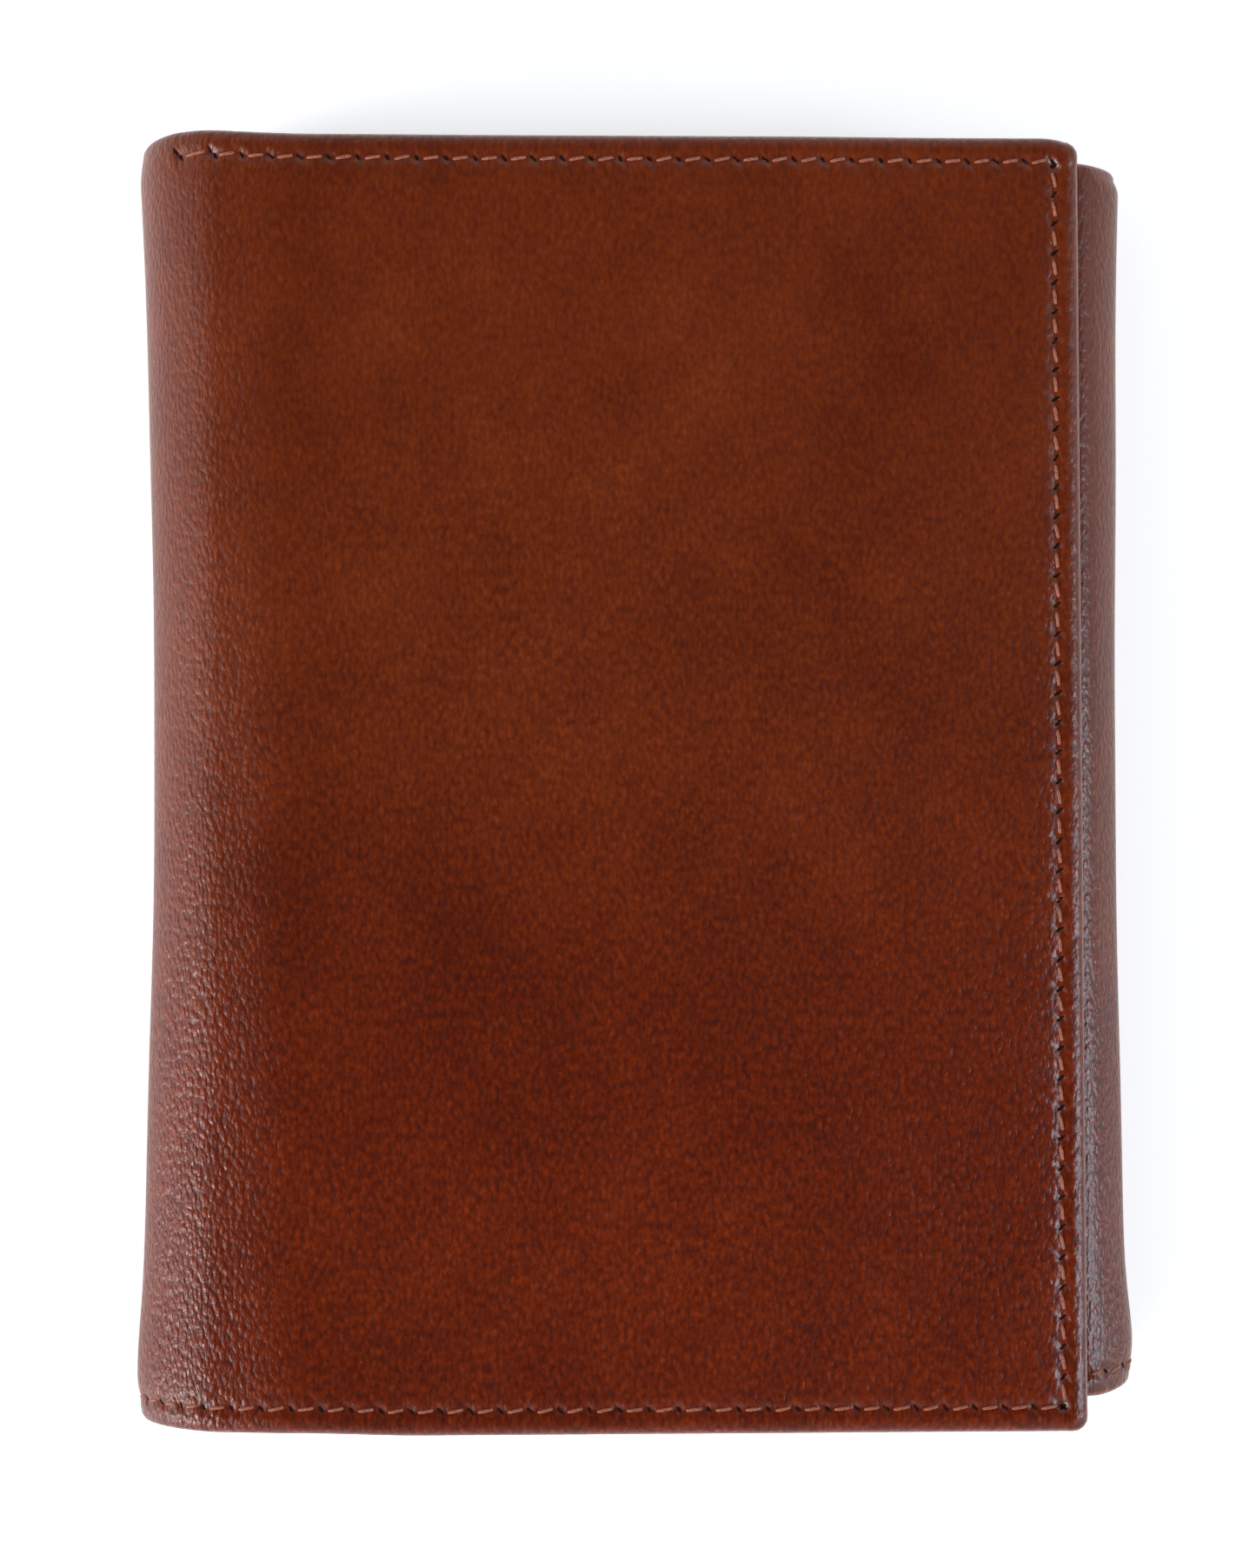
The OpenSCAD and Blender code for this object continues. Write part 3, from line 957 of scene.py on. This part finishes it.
def make_window():
    """The identity window: a leather frame with a pressed border round a clear film."""
    low, high = box_mm("id_window_frame")
    film_top = box_mm("id_window_film")[1][2]
    left = (low[0] + high[0] - WINDOW_WIDTH) / 2
    sill = low[1] + WINDOW_SILL
    opening = (left, left + WINDOW_WIDTH, sill, sill + WINDOW_HEIGHT)
    curve = bpy.data.curves.new("window_frame", "CURVE")
    curve.dimensions, curve.fill_mode = "2D", "BOTH"
    curve.extrude, curve.bevel_depth, curve.bevel_resolution = 0.12 * MM, 0.18 * MM, 3
    edges = (low[0] + 0.2, high[0] - 0.2, low[1] + 0.2, high[1] - 0.2)
    rounded_rectangle(curve, *edges, 0.8)
    rounded_rectangle(curve, *opening, WINDOW_CORNER)
    shape = bpy.data.objects.new("window_frame_curve", curve)
    bpy.context.scene.collection.objects.link(shape)
    mesh = bpy.data.meshes.new_from_object(shape)
    bpy.data.objects.remove(shape)
    points = np.zeros(len(mesh.vertices) * 3)
    mesh.vertices.foreach_get("co", points)
    points = points.reshape(-1, 3)
    points[:, 2] += (film_top + 0.32) * MM
    mesh.vertices.foreach_set("co", points.ravel())
    store(mesh, "rest", points / MM)
    mesh.shade_smooth()
    piece = new_object("window_frame", mesh, INNER)
    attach(piece, "back_panel")
    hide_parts("id_window_frame")


def window_seams():
    """The rows that sew the identity window down its sides and along its foot."""
    low, high = box_mm("id_window_frame")
    left, right = (x - LEFT_X + S_BACK for x in (low[0] + 2, high[0] - 2))
    foot, top = low[1] + 2, high[1] - 1

    def face(s, v):
        return high[2] + 0.02 + 0 * s

    inside = {"depth": face, "side": -1}
    return [
        Seam(foot, top, length=left, **inside),
        Seam(foot, top, length=right, **inside),
        Seam(left, right, height=lambda s: foot + 0 * s, **inside),
    ]


def make_threads():
    """The seams, gathered into one piece for each stretch of the strip that bends as one."""
    front = Thread()
    front.sew(top_seam, 0, TACK_START - 0.1)
    front.add(thread_shape(2.6), tack_seam, (TACK_START + TACK_END) / 2, SLANT, THREAD_SLOT)
    for end in (TACK_START, TACK_END):
        front.add(hole_shape(2.1), tack_seam, end, SLIT_TURN, HOLE_SLOT)
    front.sew(front_seam, -FRONT_Y, FRONT_Y)
    front.sew(foot_seam, 0, S_SPINE)
    inside = {"depth": front_inner_face, "side": -1}
    for seam in (
        Seam(SEAM_INSET, S_FRONT - 1, height=top_seam_y, **inside),
        Seam(foot_seam_y(0), top_seam_y(0), length=SEAM_INSET, **inside),
        Seam(SEAM_INSET, S_FRONT - 1, height=foot_seam_y, **inside),
    ):
        front.sew(seam, -FRONT_Y, S_FRONT)
    back = Thread()
    back.sew(foot_seam, S_SPINE, S_RIGHT)
    for seam in window_seams():
        back.sew(seam, -BACK_Y, S_RIGHT)
    fold = Thread()
    fold.sew(foot_seam, S_RIGHT, S_FOLD)
    flap = Thread()
    flap.sew(foot_seam, S_FOLD, S_END)
    flap.sew(flap_seam, -FLAP_Y, FLAP_Y)
    for thread, name, part, nodes in (
        (front, "front_thread", "front", ("front_stitching", "bar_tack", "left_spine_stitching")),
        (back, "back_thread", "back", ("back_stitching",)),
        (fold, "fold_thread", "back_right", ("right_spine_stitching",)),
        (flap, "flap_thread", "flap", ("flap_stitching",)),
    ):
        piece = thread.piece(name)
        bend_with(piece, part)
        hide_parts(*nodes)


def dress_frame_nodes():
    """Procedural materials for the plain sheets that stay as they are in the frame."""
    finishes = {
        "front_interlining": BOARD, "back_interlining": BOARD, "flap_interlining": BOARD,
        "front_lining": LINING, "back_lining": LINING, "flap_lining": LINING,
        "front_slot_tails": LINING, "flap_slot_tails": LINING,
        "id_window_film": FILM,
    }
    for node, material in finishes.items():
        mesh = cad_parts[node].data
        mesh.materials.clear()
        mesh.materials.append(material)


make_outer_leather()
make_panels()
make_linings()
make_window()
make_threads()
dress_frame_nodes()


# ---- Floor, light and camera ----------------------------------------------------------


def make_floor():
    mesh = bpy.data.meshes.new("floor")
    shape = bmesh.new()
    bmesh.ops.create_grid(shape, x_segments=2, y_segments=2, size=12.0)
    shape.to_mesh(mesh)
    shape.free()
    floor = new_object("floor", mesh, floor_material())
    floor.location.z = -0.0002


def sun(name, azimuth, elevation, width, strength, colour=(1, 1, 1)):
    """Soft light from a wide, far window, with angles in degrees."""
    data = bpy.data.lights.new(name, "SUN")
    data.angle, data.energy, data.color = math.radians(width), strength, colour
    light = bpy.data.objects.new(name, data)
    bpy.context.scene.collection.objects.link(light)
    light.rotation_euler = (0, math.radians(90 - elevation), math.radians(azimuth))


def make_light():
    """A pale studio, darker overhead, with a window to the left and one to the right."""
    world = bpy.data.worlds.new("studio")
    bpy.context.scene.world = world
    world.use_nodes = True
    tree = world.node_tree
    place_node = tree.nodes.new("ShaderNodeTexCoord")
    split = tree.nodes.new("ShaderNodeSeparateXYZ")
    ramp = tree.nodes.new("ShaderNodeValToRGB")
    tree.links.new(place_node.outputs["Generated"], split.inputs[0])
    tree.links.new(split.outputs["Z"], ramp.inputs[0])
    tree.links.new(ramp.outputs[0], tree.nodes["Background"].inputs[0])
    stops = ((0.0, 1.0), (0.25, 0.82), (0.62, 0.7), (0.84, 0.02))
    marks = ramp.color_ramp.elements
    while len(marks) < len(stops):
        marks.new(0.5)
    for mark, (at, level) in zip(marks, stops):
        mark.position, mark.color = at, (level, level, level, 1)
    sun("window_left", 208, 19, 25, 1.95)
    sun("sky_left", 208, 26, 60, 1.1)
    sun("window_right", -12, 40, 23, 1.15, (0.72, 0.85, 1.0))
    sun("sky_right", -26, 34, 48, 0.45, (0.92, 0.96, 1.0))


def make_camera():
    data = bpy.data.cameras.new("camera")
    data.lens, data.sensor_width = 66.9, 36.0
    camera = bpy.data.objects.new("camera", data)
    bpy.context.scene.collection.objects.link(camera)
    camera.location = (-10.1 * MM, -8.7 * MM, 260.7 * MM)
    camera.rotation_euler = [math.radians(a) for a in (1.944, -2.100, -0.173)]
    data.clip_start = 0.01
    bpy.context.scene.camera = camera


make_floor()
make_light()
make_camera()
bpy.context.scene.view_settings.view_transform = "Standard"
